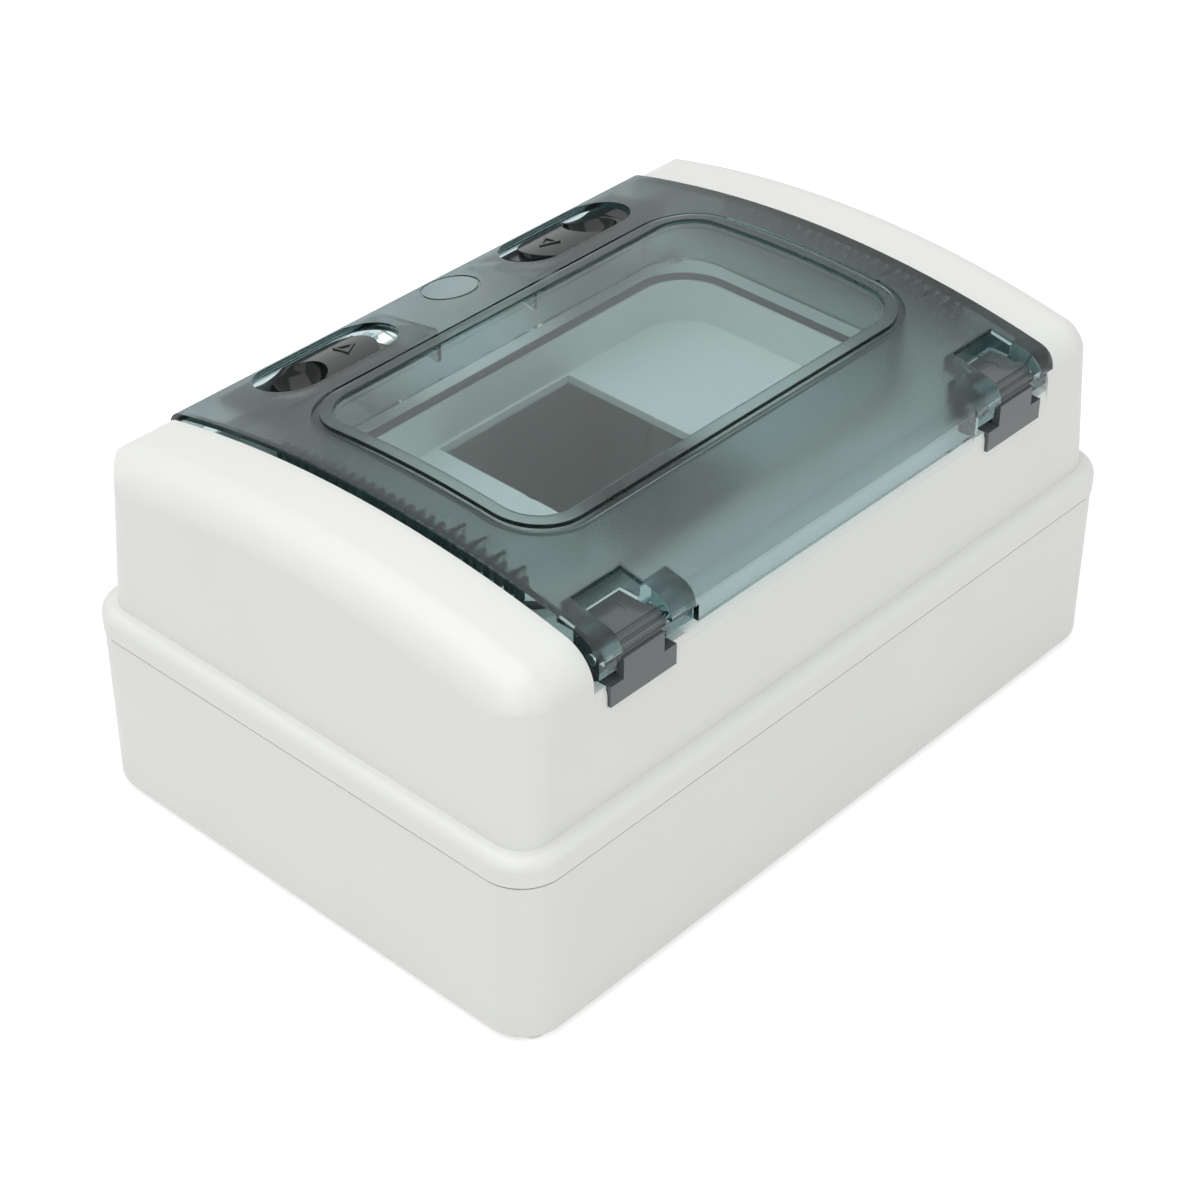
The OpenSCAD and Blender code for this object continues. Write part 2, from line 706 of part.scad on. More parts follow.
// The block that carries one hinge: a tee plate in the side wall, a barrel and a top plate
module hinge_block(s) color("darkslategray") {
    translate([s * hinge_x, 0, 0]) difference() {
        union() {
            translate([-tee_w / 2, -sill_y - 0.9, tee_z]) cube([tee_w, sill_y - side_in + 0.7, tee_h]);
            translate([-stem_w / 2, -sill_y - 0.9, tee_z]) cube([stem_w, 2.2, pin_z - tee_z]);
            along_x(block_w) translate([pin_y, pin_z]) circle(barrel_r);
            translate([-stem_w / 2, pin_y, plate_z - 1.6]) cube([stem_w, notch_in - 1, 1.6]);
            translate([-stem_w / 2, notch_y - 2.6, deck_z]) cube([stem_w, 1.6, plate_z - deck_z]);
            translate([-stem_w / 2, -side_in, deck_z]) cube([stem_w, side_in + notch_y - 1, 1.6]);
            for (e = [-1, 1]) translate([e * (stem_w / 2 - 0.8) - 0.8, -side_in, deck_z])
                cube([1.6, side_in + notch_y - 1, plate_z - deck_z - 0.1]);
        }
        rotate([0, 90, 0]) translate([-pin_z, pin_y, -20]) cylinder(h = 40, r = pin_d / 2 + pin_fit);
        for (a = [112, 140, 168]) along_x(60)
            translate([pin_y + barrel_r * cos(a), pin_z + barrel_r * sin(a)]) circle(groove_r);
        translate([0, pin_y + 4.5, plate_z - 0.15]) cylinder(h = 1, r = 2.6);
        along_x(60) difference() {
            translate([pin_y - 8, pin_z - 0.5]) square([8, 8]);
            translate([pin_y, pin_z]) circle(barrel_r);
            translate([pin_y - 0.01, pin_z]) square([8, 8]);
        }
    }
}

module hinge_pin(s) color("silver") {
    translate([s * (hinge_x + notch_w / 2 + 3), pin_y, pin_z]) rotate([0, -s * 90, 0])
        cylinder(h = notch_w + knuckle_w + 1, r = pin_d / 2);
}

module cover_screws() color("silver") at_corners(screw_x, screw_y) {
    z = deck_z - head_recess + washer_t;
    difference() {
        union() {
            translate([0, 0, z]) cylinder(h = head_h, r = head_d / 2);
            translate([0, 0, z - screw_l]) cylinder(h = screw_l + 1, r = screw_d / 2 - 0.36);
        }
        translate([0, 0, z + 1]) for (a = [0, 90]) rotate(a) translate([-2.4, -0.5, 0]) cube([4.8, 1, 3]);
    }
}

module screw_washers() color("black") at_corners(screw_x, screw_y)
    translate([0, 0, deck_z - head_recess]) difference() {
        cylinder(h = washer_t, r = head_d / 2);
        translate([0, 0, -1]) cylinder(h = 3, r = screw_d / 2);
    }

module din_rail() color("silver") {
    difference() {
        rotate([90, 0, 0]) linear_extrude(rail_l, center = true) translate([0, rail_z]) {
            translate([-13.5, 0]) square([27, rail_t]);
            for (s = [-1, 1]) {
                translate([s * (13.5 - rail_t / 2) - rail_t / 2, 0]) square([rail_t, rail_h]);
                translate([s > 0 ? 12.5 : -rail_w / 2, rail_h - rail_t]) square([rail_w / 2 - 12.5, rail_t]);
            }
        }
        for (y = [-rail_pitch / 2, 0, rail_pitch / 2])
            translate([0, y, rail_z - 1]) rotate(90) linear_extrude(4) stadium(15, 5.4);
    }
}

// A pan-head screw with its head's underside at the origin
module pan_screw(d, head, l) {
    difference() {
        union() {
            cylinder(h = head * 0.35, r = head / 2);
            translate([0, 0, -l]) cylinder(h = l + 0.5, r = d / 2);
        }
        translate([-head * 0.35, -0.4, head * 0.18]) cube([head * 0.7, 0.8, head]);
    }
}

module rail_screws() color("silver")
    for (s = [-1, 1]) translate([0, s * rail_pitch / 2, rail_z + rail_t]) pan_screw(3.1, 8, 7.5);

module terminal_bar(s) {
    translate([s * bar_x, 0, bar_z + holder_t]) difference() {
        translate([-bar_w / 2, -bar_l / 2, 0]) cube([bar_w, bar_l, bar_h]);
        for (i = [0:bar_ways - 1]) translate([0, (i - (bar_ways - 1) / 2) * 7, 0]) {
            translate([0, 0, bar_h * 0.42]) rotate([0, 90, 0]) cylinder(h = 20, r = 2.2, center = true);
            translate([0, 0, bar_h * 0.42]) cylinder(h = 20, r = 1.75);
        }
    }
}

module terminal_screws(s) {
    for (i = [0:bar_ways - 1])
        translate([s * bar_x, (i - (bar_ways - 1) / 2) * 7, bar_z + holder_t + bar_h * 0.42 + 2.4]) difference() {
            cylinder(h = bar_h * 0.58 - 1.6, r = 1.7);
            translate([-3, -0.35, bar_h * 0.58 - 2.6]) cube([6, 0.7, 3]);
        }
}

module bar_holder(s) {
    translate([s * bar_x, 0, bar_z]) difference() {
        union() {
            translate([-holder_w / 2, -holder_l / 2, 0]) cube([holder_w, holder_l, holder_t]);
            for (e = [-1, 1], f = [-1, 1])
                translate([f * (bar_w / 2 + 0.75) - 0.7, e * (bar_l / 2 - 3) - 2.5, 0]) cube([1.4, 5, holder_t + bar_h * 0.8]);
        }
        for (e = [-1, 1]) translate([0, e * (holder_l / 2 - 5), -1]) cylinder(h = 8, r = 1.5);
        translate([-bar_w / 2, -bar_l / 2, holder_t]) cube([bar_w, bar_l, bar_h]);
    }
}

module neutral_bar() color("goldenrod") terminal_bar(-1);
module neutral_holder() color("steelblue") bar_holder(-1);
module neutral_screws() color("silver") terminal_screws(-1);
module earth_bar() color("goldenrod") terminal_bar(1);
module earth_holder() color("seagreen") bar_holder(1);
module earth_screws() color("silver") terminal_screws(1);

module holder_screws() color("silver") at_corners(bar_x, holder_l / 2 - 5)
    translate([0, 0, bar_z + holder_t]) pan_screw(2.5, 5, 10);

base_housing();
cover_gasket();
front_cover();
well_seal();
cover_screws();
screw_washers();
door();
hinge_block(-1);  // hinge_block_a
hinge_block(1);  // hinge_block_b
hinge_pin(-1);  // hinge_pin_a
hinge_pin(1);  // hinge_pin_b
latch_slider(-1);  // latch_slider_a
latch_slider(1);  // latch_slider_b
din_rail();
rail_screws();
neutral_bar();
neutral_holder();
neutral_screws();
earth_bar();
earth_holder();
earth_screws();
holder_screws();
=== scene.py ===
"""Looks of a weatherproof wall enclosure: pale moulded case, tinted arched door, dark hinges and latches."""

import json
import math

import bmesh
import bpy
from mathutils import Matrix, Vector


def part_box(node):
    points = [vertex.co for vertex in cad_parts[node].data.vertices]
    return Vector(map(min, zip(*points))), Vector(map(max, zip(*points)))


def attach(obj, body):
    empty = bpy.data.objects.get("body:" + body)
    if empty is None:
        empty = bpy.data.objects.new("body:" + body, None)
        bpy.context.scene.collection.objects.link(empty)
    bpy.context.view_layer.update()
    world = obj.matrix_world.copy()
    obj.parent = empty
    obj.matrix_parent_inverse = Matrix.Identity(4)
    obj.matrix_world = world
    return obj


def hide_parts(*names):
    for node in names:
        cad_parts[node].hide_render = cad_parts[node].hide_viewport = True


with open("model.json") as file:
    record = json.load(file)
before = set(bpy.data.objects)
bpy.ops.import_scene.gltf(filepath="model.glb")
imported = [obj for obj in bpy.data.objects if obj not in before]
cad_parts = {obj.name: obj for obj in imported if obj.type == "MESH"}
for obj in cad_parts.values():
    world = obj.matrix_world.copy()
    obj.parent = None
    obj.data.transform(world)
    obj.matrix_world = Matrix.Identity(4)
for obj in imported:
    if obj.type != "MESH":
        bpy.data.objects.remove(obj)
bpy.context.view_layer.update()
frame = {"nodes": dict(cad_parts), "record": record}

MM = 0.001

# The door, in millimetres, with the sizes that the CAD has
ARCH_R = 291.16
ARCH_MID_Y = -4.0
BEAD_UP = 0.6
RING_HALF_L, RING_HALF_W, RING_R = 67.0, 39.2, 15.2
GROOVE_W = 1.8
BEAD_IN = 5.2
HINGE_X = 64.6
LATCH_X = 40.3
LATCH_IN = 12.2
LOCK_X, LOCK_IN, LOCK_R = 2.0, 10.2, 7.2
BOWL_X, BOWL_IN, BOWL_Z, BOWL_R = 49.8, 12.0, 95.6, 7.6


def add_object(name, data):
    ob = bpy.data.objects.new(name, data)
    bpy.context.scene.collection.objects.link(ob)
    return ob


def box_mm(node):
    """The two corners of a node's box, in millimetres."""
    return (tuple(c / MM for c in p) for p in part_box(node))


def arch_top(crown, y):
    """Height of the door's arched skin at y."""
    return crown - ARCH_R + math.sqrt(ARCH_R ** 2 - (y - ARCH_MID_Y) ** 2)


# ---------------------------------------------------------------- node helpers

def maths(nt, operation, first, second):
    """One Math node. Each side is a socket or a plain number."""
    m = nt.nodes.new("ShaderNodeMath")
    m.operation = operation
    for socket, value in zip(m.inputs, (first, second)):
        if isinstance(value, float):
            socket.default_value = value
        else:
            nt.links.new(value, socket)
    return m.outputs[0]


def mixed(nt, amount, plain, other):
    mix = nt.nodes.new("ShaderNodeMixShader")
    for socket, value in zip(mix.inputs, (amount, plain, other)):
        nt.links.new(value, socket)
    return mix.outputs[0]


# ---------------------------------------------------------------- camera, lamps, floor

def make_camera():
    az, el, roll = math.radians(-47.6), math.radians(36.5), math.radians(0.24)
    back = Vector((math.sin(az) * math.cos(el), -math.cos(az) * math.cos(el), math.sin(el)))
    right = Vector((math.cos(az), math.sin(az), 0.0))
    up = back.cross(right)
    side = math.cos(roll) * right + math.sin(roll) * up
    top = -math.sin(roll) * right + math.cos(roll) * up
    data = bpy.data.cameras.new("camera")
    cam = add_object("camera", data)
    turn = Matrix((side, top, back)).transposed().to_4x4()
    cam.matrix_world = Matrix.Translation(Vector((-0.4100, -0.37075, 0.43841))) @ turn
    data.sensor_width = 36.0
    data.lens = 84.903
    data.shift_x = -0.003
    data.shift_y = 0.0012
    data.clip_start = 0.01
    data.clip_end = 50
    bpy.context.scene.camera = cam


def lamp(name, place, size, power):
    """A square softbox aimed at the middle of the box."""
    data = bpy.data.lights.new(name, "AREA")
    data.shape = "RECTANGLE"
    data.size = data.size_y = size
    data.energy = power
    ob = add_object(name, data)
    ob.location = place
    aim = Vector((0, 0, 0.05))
    ob.rotation_euler = (aim - Vector(place)).to_track_quat("-Z", "Y").to_euler()


def seen_directly(nt):
    """1 for camera, glossy and see-through rays."""
    path = nt.nodes.new("ShaderNodeLightPath")
    total = path.outputs["Is Camera Ray"]
    for kind in ("Is Glossy Ray", "Is Transmission Ray"):
        total = maths(nt, "MAXIMUM", total, path.outputs[kind])
    return total


def make_world():
    world = bpy.data.worlds.new("studio")
    bpy.context.scene.world = world
    world.use_nodes = True
    nt = world.node_tree
    nt.nodes.clear()
    out = nt.nodes.new("ShaderNodeOutputWorld")
    skies = []
    for colour, strength in (((0.97, 0.985, 1.0, 1), 0.45), ((1, 1, 1, 1), 1.0)):
        sky = nt.nodes.new("ShaderNodeBackground")
        sky.inputs["Color"].default_value = colour
        sky.inputs["Strength"].default_value = strength
        skies.append(sky.outputs[0])
    nt.links.new(mixed(nt, seen_directly(nt), *skies), out.inputs["Surface"])


def make_floor():
    mesh = bpy.data.meshes.new("floor")
    half = 3.0
    corners = [(-half, -half, 0), (half, -half, 0), (half, half, 0), (-half, half, 0)]
    mesh.from_pydata(corners, [], [(0, 1, 2, 3)])
    ob = add_object("floor", mesh)
    ob.location.z = -0.0002
    mat = bpy.data.materials.new("white_sweep")
    mat.use_nodes = True
    nt = mat.node_tree
    nt.nodes.clear()
    out = nt.nodes.new("ShaderNodeOutputMaterial")
    paint = nt.nodes.new("ShaderNodeBsdfDiffuse")
    paint.inputs["Color"].default_value = (0.80, 0.80, 0.80, 1)
    glow = nt.nodes.new("ShaderNodeEmission")
    glow.inputs["Strength"].default_value = 0.46
    lit = nt.nodes.new("ShaderNodeAddShader")
    nt.links.new(paint.outputs[0], lit.inputs[0])
    nt.links.new(glow.outputs[0], lit.inputs[1])
    floor = mixed(nt, seen_directly(nt), paint.outputs[0], lit.outputs[0])
    nt.links.new(floor, out.inputs["Surface"])
    mesh.materials.append(mat)


make_camera()
make_world()
make_floor()
lamp("softbox_over", (-0.25, 0.15, 1.15), 1.3, 9.5)
lamp("softbox_left", (-1.1, -0.5, 0.6), 0.9, 3.2)
lamp("softbox_front", (0.35, -1.2, 0.6), 0.9, 3.2)
bpy.context.scene.view_settings.view_transform = "Standard"


# ---------------------------------------------------------------- finishes

def new_finish(name):
    mat = bpy.data.materials.new(name)
    mat.use_nodes = True
    nt = mat.node_tree
    return mat, nt, nt.nodes["Principled BSDF"]


def object_place(nt, stretch=(1.0, 1.0, 1.0)):
    spot = nt.nodes.new("ShaderNodeTexCoord")
    turn = nt.nodes.new("ShaderNodeMapping")
    turn.inputs["Scale"].default_value = stretch
    nt.links.new(spot.outputs["Object"], turn.inputs["Vector"])
    return turn.outputs["Vector"]


def noise(nt, where, scale, detail, rough=0.5):
    n = nt.nodes.new("ShaderNodeTexNoise")
    n.inputs["Scale"].default_value = scale
    n.inputs["Detail"].default_value = detail
    n.inputs["Roughness"].default_value = rough
    nt.links.new(where, n.inputs["Vector"])
    return n.outputs["Fac"]


def spread(nt, value, low, high, start=0.0, end=1.0):
    """Maps start..end of a value onto low..high."""
    m = nt.nodes.new("ShaderNodeMapRange")
    m.inputs["From Min"].default_value = start
    m.inputs["From Max"].default_value = end
    m.inputs["To Min"].default_value = low
    m.inputs["To Max"].default_value = high
    nt.links.new(value, m.inputs["Value"])
    return m.outputs["Result"]


def two_colours(nt, value, low, high):
    m = nt.nodes.new("ShaderNodeMix")
    m.data_type = "RGBA"
    m.inputs["A"].default_value = (*low, 1)
    m.inputs["B"].default_value = (*high, 1)
    nt.links.new(value, m.inputs["Factor"])
    return m.outputs["Result"]


def bump(nt, shader, value, height, strength=1.0):
    b = nt.nodes.new("ShaderNodeBump")
    b.inputs["Distance"].default_value = height
    b.inputs["Strength"].default_value = strength
    nt.links.new(value, b.inputs["Height"])
    nt.links.new(b.outputs["Normal"], shader.inputs["Normal"])


def moulded(name, low, high, rough=(0.38, 0.5), grain=2600.0, height=0.00001, gloss=0.5):
    """Moulded plastic: a fine spark-eroded grain, faint colour drift and uneven sheen."""
    mat, nt, shader = new_finish(name)
    where = object_place(nt)
    drift = noise(nt, where, 14.0, 3.0)
    nt.links.new(two_colours(nt, drift, low, high), shader.inputs["Base Color"])
    sheen = noise(nt, where, 45.0, 4.0)
    nt.links.new(spread(nt, sheen, *rough, 0.3, 0.7), shader.inputs["Roughness"])
    bump(nt, shader, noise(nt, where, grain, 2.0, 0.6), height)
    shader.inputs["Specular IOR Level"].default_value = gloss
    return mat


def metal(name, low, high, rough):
    """Plated or drawn metal: soft grain along the piece."""
    mat, nt, shader = new_finish(name)
    grain = noise(nt, object_place(nt, (1.0, 0.12, 1.0)), 900.0, 3.0)
    nt.links.new(two_colours(nt, grain, low, high), shader.inputs["Base Color"])
    nt.links.new(spread(nt, grain, rough - 0.08, rough + 0.08), shader.inputs["Roughness"])
    shader.inputs["Metallic"].default_value = 1.0
    bump(nt, shader, grain, 0.00001, 0.5)
    return mat


# The door's surfaces: name, tint of the skin, tint of a shadow ray, roughness, height of the grain
DOOR_SKINS = (
    ("clear", (0.73, 0.79, 0.795), (0.83, 0.87, 0.87), 0.03, 0.0),
    ("grained", (0.42, 0.47, 0.475), (0.63, 0.69, 0.69), 0.36, 1.0),
    ("groove", (0.34, 0.36, 0.365), (0.50, 0.54, 0.54), 0.34, 0.3),
    ("bead", (0.45, 0.50, 0.50), (0.65, 0.70, 0.70), 0.30, 0.0),
    ("collar", (0.60, 0.66, 0.66), (0.76, 0.80, 0.80), 0.34, 0.2),
    # Painted shade: the next skin is a near-black tint for the walls round the hinge notches and latch
    # slots, which are the same plastic as the rest of the door.
    ("notch", (0.16, 0.19, 0.195), (0.40, 0.44, 0.44), 0.24, 0.0),
)
SKIN_TINT, SHADOW_TINT, SKIN_ROUGH, SKIN_GRAIN = 1, 2, 3, 4
SKIN_VALUE = {row[0]: k / len(DOOR_SKINS) for k, row in enumerate(DOOR_SKINS)}


def by_skin(nt, kind, column):
    """Steps through one column of DOOR_SKINS by the face's own kind."""
    ramp = nt.nodes.new("ShaderNodeValToRGB")
    ramp.color_ramp.interpolation = "CONSTANT"
    stops = ramp.color_ramp.elements
    while len(stops) < len(DOOR_SKINS):
        stops.new(0.5)
    for k, row in enumerate(DOOR_SKINS):
        stops[k].position = max(0.0, (k - 0.5) / len(DOOR_SKINS))
        value = row[column]
        stops[k].color = (*value, 1) if isinstance(value, tuple) else (value, value, value, 1)
    nt.links.new(kind, ramp.inputs[0])
    return ramp.outputs[0]


def door_plastic():
    """Smoke-tinted polycarbonate that darkens with the thickness looked through.
    Shadow rays pass it, so what is under it is lit."""
    mat, nt, shader = new_finish("smoke_polycarbonate")
    out = nt.nodes["Material Output"]
    where = object_place(nt)
    face = nt.nodes.new("ShaderNodeAttribute")
    face.attribute_name = "skin_kind"
    kind = face.outputs["Fac"]
    cloud = spread(nt, noise(nt, where, 60.0, 3.0), 0.86, 1.14, 0.3, 0.7)
    rough = maths(nt, "MULTIPLY", by_skin(nt, kind, SKIN_ROUGH), cloud)
    nt.links.new(rough, shader.inputs["Roughness"])
    nt.links.new(by_skin(nt, kind, SKIN_TINT), shader.inputs["Base Color"])
    shader.inputs["Transmission Weight"].default_value = 1.0
    shader.inputs["IOR"].default_value = 1.46
    speckle = noise(nt, where, 1700.0, 2.0, 0.7)
    grain = maths(nt, "MULTIPLY", speckle, by_skin(nt, kind, SKIN_GRAIN))
    bump(nt, shader, grain, 0.00008)
    clear = nt.nodes.new("ShaderNodeBsdfTransparent")
    nt.links.new(by_skin(nt, kind, SHADOW_TINT), clear.inputs["Color"])
    path = nt.nodes.new("ShaderNodeLightPath")
    skin = mixed(nt, path.outputs["Is Shadow Ray"], shader.outputs[0], clear.outputs[0])
    nt.links.new(skin, out.inputs["Surface"])
    depth = nt.nodes.new("ShaderNodeVolumeAbsorption")
    depth.inputs["Color"].default_value = (0.0, 0.27, 0.28, 1)
    depth.inputs["Density"].default_value = 120.0
    nt.links.new(depth.outputs[0], out.inputs["Volume"])
    return mat


GLOSSY_GRAIN = (1500.0, 0.000005)
RUBBER = ((0.6, 0.8), 1500.0, 0.00001, 0.3)
HOLDER = ((0.3, 0.45), 2200.0, 0.000008)

CASE = moulded("case_plastic", (0.730, 0.737, 0.700), (0.758, 0.765, 0.730))
COVER = moulded("cover_plastic", (0.738, 0.745, 0.715), (0.766, 0.773, 0.743))
HINGE = moulded("hinge_plastic", (0.070, 0.082, 0.084), (0.095, 0.108, 0.110),
                (0.16, 0.30), 1800.0, 0.000006)
LATCH = moulded("latch_plastic", (0.006, 0.010, 0.011), (0.012, 0.017, 0.018),
                (0.12, 0.22), *GLOSSY_GRAIN)
# Painted shade: the finger bowl's blacker colour and halved reflection stand in for the dark of the hollow;
# its lower roughness is a real gloss.
BOWL = moulded("latch_bowl", (0.003, 0.004, 0.004), (0.006, 0.008, 0.008),
               (0.08, 0.14), 1500.0, 0.000003, 0.25)
RIB = moulded("rib_plastic", (0.012, 0.040, 0.044), (0.020, 0.055, 0.060),
              (0.20, 0.32), *GLOSSY_GRAIN)
SEAL = moulded("sealing_rubber", (0.045, 0.045, 0.045), (0.07, 0.07, 0.07), *RUBBER)
CORD = moulded("gasket_rubber", (0.012, 0.012, 0.012), (0.02, 0.02, 0.02), *RUBBER)
BLUE = moulded("blue_plastic", (0.02, 0.09, 0.33), (0.03, 0.11, 0.38), *HOLDER)
GREEN = moulded("green_plastic", (0.02, 0.24, 0.07), (0.03, 0.28, 0.09), *HOLDER)
ZINC = metal("zinc_plate", (0.62, 0.62, 0.58), (0.74, 0.73, 0.68), 0.32)
PIN = metal("pin_steel", (0.60, 0.60, 0.60), (0.72, 0.72, 0.72), 0.22)
BRASS = metal("drawn_brass", (0.72, 0.52, 0.22), (0.82, 0.62, 0.30), 0.30)
SMOKE = door_plastic()

# The nodes that keep their CAD shape under a softened skin
FINISH = {
    "base_housing": CASE, "front_cover": COVER, "cover_gasket": CORD, "well_seal": SEAL,
    "screw_washers": CORD, "door": SMOKE,
    "hinge_block_a": HINGE, "hinge_block_b": HINGE, "hinge_pin_a": PIN, "hinge_pin_b": PIN,
    "latch_slider_a": LATCH, "latch_slider_b": LATCH, "din_rail": ZINC,
    "neutral_bar": BRASS, "neutral_holder": BLUE, "earth_bar": BRASS, "earth_holder": GREEN,
}


# ---------------------------------------------------------------- skins of the CAD nodes

EDGE_ROUND = 0.25 * MM
EDGE_ANGLE = math.radians(30.0)


def plain_mesh(ob):
    """Swaps an object's modifiers for the mesh that they give."""
    depsgraph = bpy.context.evaluated_depsgraph_get()
    mesh = bpy.data.meshes.new_from_object(ob.evaluated_get(depsgraph))
    ob.modifiers.clear()
    ob.data = mesh
    return mesh


def smooth_piece(node):
    """A merged copy of a CAD node with softened edges and smooth shading."""
    mesh = frame["nodes"][node].data.copy()
    mesh.name = node + "_skin"
    for name in [a.name for a in mesh.attributes if a.name == "custom_normal"]:
        mesh.attributes.remove(mesh.attributes[name])
    bm = bmesh.new()
    bm.from_mesh(mesh)
    bmesh.ops.remove_doubles(bm, verts=bm.verts, dist=0.000002)
    bmesh.ops.dissolve_limit(bm, angle_limit=math.radians(0.4), verts=bm.verts, edges=bm.edges)
    for f in bm.faces:
        f.smooth = True
    for e in bm.edges:
        e.smooth = not (len(e.link_faces) == 2 and e.calc_face_angle(0.0) > EDGE_ANGLE)
    bm.to_mesh(mesh)
    bm.free()
    mesh.materials.clear()
    mesh.materials.append(FINISH[node])
    ob = add_object(node + "_skin", mesh)
    bev = ob.modifiers.new("edges", "BEVEL")
    bev.width = EDGE_ROUND
    bev.segments = 2
    bev.limit_method = "ANGLE"
    bev.angle_limit = EDGE_ANGLE
    bev.use_clamp_overlap = True
    wn = ob.modifiers.new("faces", "WEIGHTED_NORMAL")
    wn.keep_sharp = True
    wn.weight = 90
    plain_mesh(ob)
    bodies = frame["record"]["behaviour"]["bodies"]
    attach(ob, [body for body, names in bodies.items() if node in names][0])
    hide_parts(node)
    return ob


def in_ring(x, y, inset):
    """Is a point inside the window's outline, set in from the groove's outer edge?"""
    half_l, half_w, r = RING_HALF_L - inset, RING_HALF_W - inset, RING_R - inset
    dx, dy = max(abs(x) - (half_l - r), 0.0), max(abs(y) - (half_w - r), 0.0)
    return abs(x) <= half_l and abs(y) <= half_w and math.hypot(dx, dy) <= r


def skin_kind(centre, normal, corners, lo, hi):
    """Which of DOOR_SKINS a face of the door has, from its place in millimetres."""
    x, y, z = centre
    top = arch_top(hi[2] - BEAD_UP, y)
    on_lip = y < lo[1] + 5.0
    facing_out = normal.z > 0.25 or (normal.y < -0.3 and on_lip)
    on_skin = z > top - 1.0 or (on_lip and z > lo[2] + 8.0)
    disc = all(math.hypot(c.x - LOCK_X, c.y - (hi[1] - LOCK_IN)) < LOCK_R for c in corners)
    by_hinge = abs(abs(x) - HINGE_X) < 9.4 and y < lo[1] + 17.0
    by_slot = abs(abs(x) - LATCH_X) < 22.0 and abs(y - (hi[1] - LATCH_IN)) < 10.5
    # Painted shade: walls round the hinge notches and latch slots are tinted near-black.
    if (by_hinge or by_slot) and not facing_out and z > top - 3.2:
        return "notch"
    if not in_ring(x, y, 0.0):
        if on_skin and facing_out and not disc:
            return "grained"
        return "collar" if on_skin and y > hi[1] - 24.0 else "clear"
    if not in_ring(x, y, GROOVE_W):
        if z < top - 2.4:
            return "collar"
        return "groove" if z > top - 1.4 else "clear"
    return "bead" if not in_ring(x, y, BEAD_IN) and z > top - 1.2 else "clear"


def finish_the_door(ob):
    """The outer skin is grained, apart from the window, its bead and the lock disc."""
    mesh = ob.data
    lo, hi = box_mm("door")
    kinds = []
    for f in mesh.polygons:
        corners = [mesh.vertices[v].co / MM for v in f.vertices]
        centre = (c / MM for c in f.center)
        kinds.append(SKIN_VALUE[skin_kind(centre, f.normal, corners, lo, hi)])
    mark = mesh.attributes.new("skin_kind", "FLOAT", "FACE")
    mark.data.foreach_set("value", kinds)


def bowl_gloss_and_shade(ob, node):
    """The finger bowl is glossier than the pad round it; its blacker colour and weaker reflection are
    painted shade of the hollow.
    """
    mesh = ob.data
    mesh.materials.append(BOWL)
    side = 1.0 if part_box(node)[1][0] > 0 else -1.0
    middle = Vector((side * BOWL_X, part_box("door")[1][1] / MM - BOWL_IN, BOWL_Z))
    for f in mesh.polygons:
        inward = middle - f.center / MM
        near = BOWL_R - 1.4 < inward.length < BOWL_R + 0.35
        if near and f.normal.dot(inward.normalized()) > 0.9:
            f.material_index = 1


# ---------------------------------------------------------------- rules for what repeats

def put(nt, kind, **values):
    """A node with its whole-number inputs set by name."""
    node = nt.nodes.new(kind)
    for name, value in values.items():
        node.inputs[name.replace("_", " ")].default_value = value
    return node


def vector(nt, x=None, y=None, z=None):
    v = nt.nodes.new("ShaderNodeCombineXYZ")
    for socket, value in zip(v.inputs, (x, y, z)):
        if value is not None:
            nt.links.new(value, socket)
    return v.outputs[0]


def lifted(nt, mesh, height):
    t = nt.nodes.new("GeometryNodeTransform")
    nt.links.new(mesh, t.inputs["Geometry"])
    nt.links.new(vector(nt, z=height), t.inputs["Translation"])
    return t.outputs[0]


def new_rule(name, sizes, socket_type):
    """An empty tree with named inputs. Returns it and its inputs."""
    tree = bpy.data.node_groups.new(name, "GeometryNodeTree")
    rows = [("Places", "INPUT", "NodeSocketGeometry")]
    rows += [(size, "INPUT", socket_type) for size in sizes]
    rows += [("Finish", "INPUT", "NodeSocketMaterial"), ("Pieces", "OUTPUT", "NodeSocketGeometry")]
    for row, in_out, kind in rows:
        tree.interface.new_socket(name=row, in_out=in_out, socket_type=kind)
    return tree, tree.nodes.new("NodeGroupInput").outputs


def planted(nt, given, piece):
    """Sets one piece on every place, makes it real and gives it its finish."""
    placed = nt.nodes.new("GeometryNodeInstanceOnPoints")
    nt.links.new(given["Places"], placed.inputs["Points"])
    nt.links.new(piece, placed.inputs["Instance"])
    real = nt.nodes.new("GeometryNodeRealizeInstances")
    nt.links.new(placed.outputs[0], real.inputs[0])
    coat = nt.nodes.new("GeometryNodeSetMaterial")
    nt.links.new(real.outputs[0], coat.inputs["Geometry"])
    nt.links.new(given["Finish"], coat.inputs["Material"])
    nt.links.new(coat.outputs[0], nt.nodes.new("NodeGroupOutput").inputs[0])


